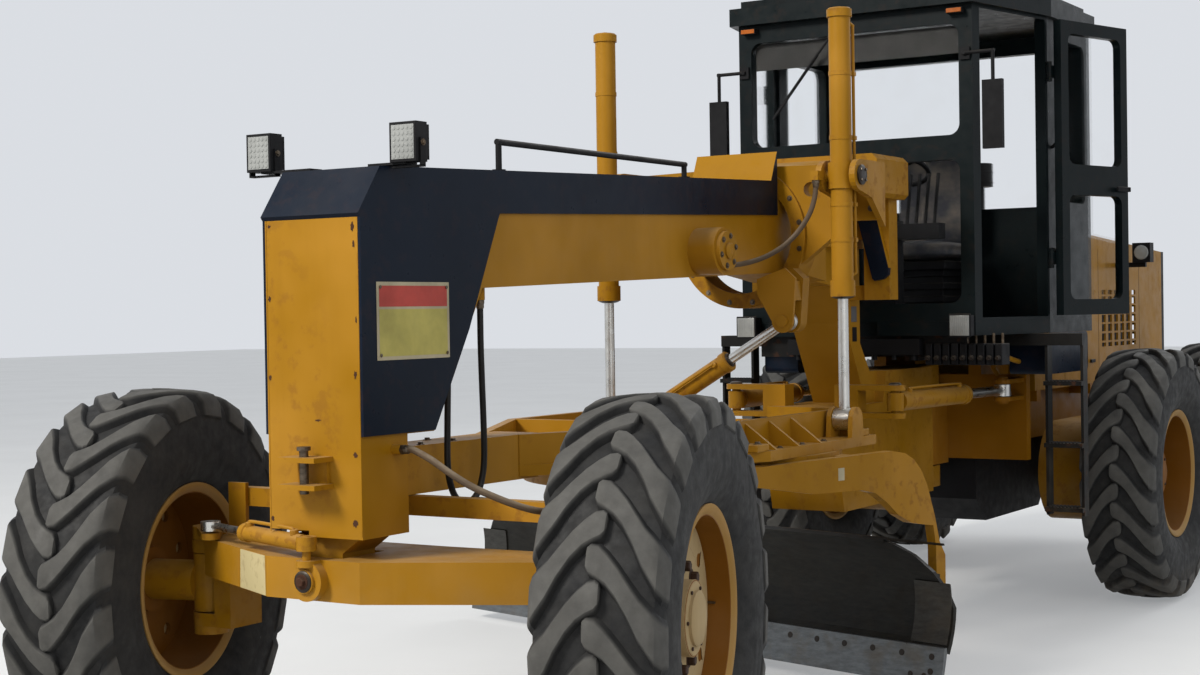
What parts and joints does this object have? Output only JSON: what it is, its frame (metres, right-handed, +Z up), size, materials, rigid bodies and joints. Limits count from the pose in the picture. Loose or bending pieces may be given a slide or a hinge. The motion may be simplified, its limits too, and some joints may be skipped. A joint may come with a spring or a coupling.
{
  "type": "motor grader",
  "caption": "Articulated motor grader with tandem drive, side cab doors, curved blade on a slewing circle and drawbar, and steered front wheels",
  "frame": {"origin": "bottom centre of the bounding box, on the ground", "axes": "+X to the machine's left, +Y to its rear, +Z up"},
  "size_m": [3.2861, 8.7288, 3.21],
  "materials": {
    "yellow_paint": "dusty yellow paint",
    "navy_paint": "dark blue paint",
    "cab_paint": "black paint",
    "black_metal": "black paint, matt",
    "hub_paint": "dusty pale paint",
    "worn_steel": "ground bright by soil",
    "rod_chrome": "polished",
    "tyre_rubber": "dusty worn rubber",
    "clear_glass": "clear",
    "hose_rubber": "smooth, dusty",
    "seat_cloth": "woven cloth",
    "black_plastic": "moulded"
  },
  "bodies": {
    "chassis_rear": {"rear_frame": "yellow_paint", "engine_block": "black_metal", "hood": "yellow_paint", "rear_grille": "black_metal", "side_boxes": "navy_paint", "tandem_drive": "yellow_paint", "transmission": "black_metal", "cab_floor": "cab_paint", "cab_frame": "cab_paint", "cab_roof": "cab_paint", "cab_glass": "clear_glass", "seat": "seat_cloth", "steering_console": "black_plastic", "mirrors": "black_plastic", "lamps": "black_metal", "cab_pipes": "yellow_paint", "exhaust_and_intake": "black_metal"},
    "chassis_front": {"front_frame": "yellow_paint", "nose_cowl": "navy_paint", "lifter_yoke": "yellow_paint", "hose_beam": "hose_rubber", "hose_loop": "hose_rubber", "hose_axle": "hose_rubber", "lamps_and_rail": "black_metal", "front_axle": "yellow_paint", "lean_linkage": "yellow_paint"},
    "steering_knuckle_left": {"knuckle_left": "yellow_paint"},
    "steering_knuckle_right": {"knuckle_right": "yellow_paint"},
    "wheel_left_front": {"tyre_left_front": "tyre_rubber", "rim_left_front": "hub_paint"},
    "wheel_right_front": {"tyre_right_front": "tyre_rubber", "rim_right_front": "hub_paint"},
    "wheel_left_mid": {"tyre_left_mid": "tyre_rubber", "rim_left_mid": "yellow_paint"},
    "wheel_right_mid": {"tyre_right_mid": "tyre_rubber", "rim_right_mid": "yellow_paint"},
    "wheel_left_back": {"tyre_left_back": "tyre_rubber", "rim_left_back": "yellow_paint"},
    "wheel_right_back": {"tyre_right_back": "tyre_rubber", "rim_right_back": "yellow_paint"},
    "door_leaf_left": {"door_left": "cab_paint", "door_glass_left": "clear_glass"},
    "door_leaf_right": {"door_right": "cab_paint", "door_glass_right": "clear_glass"},
    "steering_link": {"tie_rod": "yellow_paint"},
    "steering_cylinder": {"steer_barrel": "yellow_paint"},
    "steering_piston": {"steer_rod": "rod_chrome"},
    "drawbar_frame": {"drawbar": "yellow_paint"},
    "circle_turntable": {"circle_ring": "yellow_paint"},
    "tilting_carrier": {"blade_carrier": "yellow_paint"},
    "moldboard": {"blade": "worn_steel", "cutting_edge": "worn_steel"},
    "lift_cylinders": {"lift_barrels": "yellow_paint"},
    "lift_pistons": {"lift_rods": "rod_chrome"},
    "shift_cylinder": {"shift_barrel": "yellow_paint"},
    "shift_piston": {"shift_rod": "rod_chrome"},
    "turn_cylinder_left": {"turn_barrel_left": "yellow_paint"},
    "turn_piston_left": {"turn_rod_left": "rod_chrome"},
    "turn_cylinder_right": {"turn_barrel_right": "yellow_paint"},
    "turn_piston_right": {"turn_rod_right": "rod_chrome"}
  },
  "joints": [
    {"name": "articulation", "type": "hinge", "parent": "chassis_rear", "child": "chassis_front", "pos_m": [0.29952, 0.93436, 0.975], "axis": [0, 0, 1], "range_deg": [-25, 25]},
    {"name": "roll_left_mid", "type": "hinge", "parent": "chassis_rear", "child": "wheel_left_mid", "pos_m": [1.31452, 1.76936, 0.685], "axis": [1, 0, 0], "continuous": true},
    {"name": "roll_left_back", "type": "hinge", "parent": "chassis_rear", "child": "wheel_left_back", "pos_m": [1.31452, 3.29436, 0.685], "axis": [1, 0, 0], "continuous": true},
    {"name": "roll_right_mid", "type": "hinge", "parent": "chassis_rear", "child": "wheel_right_mid", "pos_m": [-0.71548, 1.76936, 0.685], "axis": [1, 0, 0], "continuous": true},
    {"name": "roll_right_back", "type": "hinge", "parent": "chassis_rear", "child": "wheel_right_back", "pos_m": [-0.71548, 3.29436, 0.685], "axis": [1, 0, 0], "continuous": true},
    {"name": "door_swing_left", "type": "hinge", "parent": "chassis_rear", "child": "door_leaf_left", "pos_m": [1.10369, 0.78481, 2.3], "axis": [0, 0, 1], "range_deg": [-176, 0]},
    {"name": "door_swing_right", "type": "hinge", "parent": "chassis_rear", "child": "door_leaf_right", "pos_m": [-0.50465, 0.78481, 2.3], "axis": [0, 0, 1], "range_deg": [-176, 0]},
    {"name": "steer_left", "type": "hinge", "parent": "chassis_front", "child": "steering_knuckle_left", "pos_m": [1.09452, -3.61564, 0.685], "axis": [0, 0, 1], "range_deg": [-50, 22]},
    {"name": "steer_right", "type": "hinge", "parent": "chassis_front", "child": "steering_knuckle_right", "pos_m": [-0.49548, -3.61564, 0.685], "axis": [0, 0, 1], "range_deg": [-50, 22]},
    {"name": "roll_left_front", "type": "hinge", "parent": "steering_knuckle_left", "child": "wheel_left_front", "pos_m": [1.30799, -3.56242, 0.685], "axis": [0.9703, 0.2419, 0], "continuous": true},
    {"name": "roll_right_front", "type": "hinge", "parent": "steering_knuckle_right", "child": "wheel_right_front", "pos_m": [-0.70894, -3.66886, 0.685], "axis": [0.9703, 0.2419, 0], "continuous": true},
    {"name": "tie_rod_follow", "type": "hinge", "parent": "steering_knuckle_left", "child": "steering_link", "pos_m": [1.02194, -3.32455, 0.7], "axis": [0, 0, 1], "range_deg": [-22, 50]},
    {"name": "steer_cylinder_swing", "type": "hinge", "parent": "chassis_front", "child": "steering_cylinder", "pos_m": [0.29952, -4.01064, 0.905], "axis": [0, 0, 1], "range_deg": [-12, 12]},
    {"name": "steer_rod_stroke", "type": "slide", "parent": "steering_cylinder", "child": "steering_piston", "axis": [-0.9394, 0.3428, 0], "range_m": [-0.06, 0.13]},
    {"name": "drawbar_lift", "type": "hinge", "parent": "chassis_front", "child": "drawbar_frame", "pos_m": [0.29952, -3.62564, 1.1], "axis": [1, 0, 0], "range_deg": [0, 9]},
    {"name": "circle_turn", "type": "hinge", "parent": "drawbar_frame", "child": "circle_turntable", "pos_m": [0.29952, -1.63564, 0.975], "axis": [0, 0, 1], "range_deg": [-15, 30]},
    {"name": "blade_tilt", "type": "hinge", "parent": "circle_turntable", "child": "tilting_carrier", "pos_m": [0.50658, -0.8629, 0.262], "axis": [0.9659, -0.2588, 0], "range_deg": [-12, 15]},
    {"name": "blade_shift", "type": "slide", "parent": "tilting_carrier", "child": "moldboard", "axis": [0.9659, -0.2588, 0], "range_m": [-0.05, 1.1]},
    {"name": "lift_cylinder_swing", "type": "hinge", "parent": "chassis_front", "child": "lift_cylinders", "pos_m": [0.29952, -1.26564, 2.17], "axis": [1, 0, 0], "range_deg": [-5, 5]},
    {"name": "lift_rod_stroke", "type": "slide", "parent": "lift_cylinders", "child": "lift_pistons", "axis": [0, 0, -1], "range_m": [-0.4, 0.02]},
    {"name": "shift_cylinder_swing", "type": "hinge", "parent": "drawbar_frame", "child": "shift_cylinder", "pos_m": [-0.13048, -1.16564, 1.145], "axis": [0.4168, -0.9089, 0.0133], "range_deg": [-31, 5]},
    {"name": "shift_rod_stroke", "type": "slide", "parent": "shift_cylinder", "child": "shift_piston", "axis": [0.8602, 0, 0.51], "range_m": [-0.15, 0.02]},
    {"name": "turn_cylinder_swing_left", "type": "hinge", "parent": "chassis_front", "child": "turn_cylinder_left", "pos_m": [0.71952, -0.34564, 1.17], "axis": [0, 0, 1], "range_deg": [-5, 5]},
    {"name": "turn_rod_stroke_left", "type": "slide", "parent": "turn_cylinder_left", "child": "turn_piston_left", "axis": [0.0649, 0.9979, 0], "range_m": [-0.25, 0.25]},
    {"name": "turn_cylinder_swing_right", "type": "hinge", "parent": "chassis_front", "child": "turn_cylinder_right", "pos_m": [-0.12048, -0.34564, 1.17], "axis": [0, 0, 1], "range_deg": [-5, 5]},
    {"name": "turn_rod_stroke_right", "type": "slide", "parent": "turn_cylinder_right", "child": "turn_piston_right", "axis": [-0.0649, 0.9979, 0], "range_m": [-0.25, 0.25]}
  ],
  "couplings": [
    {"joint": "steer_right", "follows": "steer_left", "ratio": 1},
    {"joint": "tie_rod_follow", "follows": "steer_left", "ratio": -1},
    {"joint": "steer_cylinder_swing", "follows": "steer_left", "ratio": -0.20933},
    {"joint": "steer_rod_stroke", "follows": "steer_left", "m_per_rad": -0.13527},
    {"joint": "lift_cylinder_swing", "follows": "drawbar_lift", "ratio": -0.27505},
    {"joint": "lift_rod_stroke", "follows": "drawbar_lift", "m_per_rad": -2.3438},
    {"joint": "shift_cylinder_swing", "follows": "drawbar_lift", "ratio": -3.3473},
    {"joint": "shift_rod_stroke", "follows": "drawbar_lift", "m_per_rad": -0.81163},
    {"joint": "turn_cylinder_swing_left", "follows": "articulation", "ratio": 0.01371},
    {"joint": "turn_rod_stroke_left", "follows": "articulation", "m_per_rad": -0.48654},
    {"joint": "turn_cylinder_swing_right", "follows": "articulation", "ratio": 0.01371},
    {"joint": "turn_rod_stroke_right", "follows": "articulation", "m_per_rad": 0.48654}
  ]
}
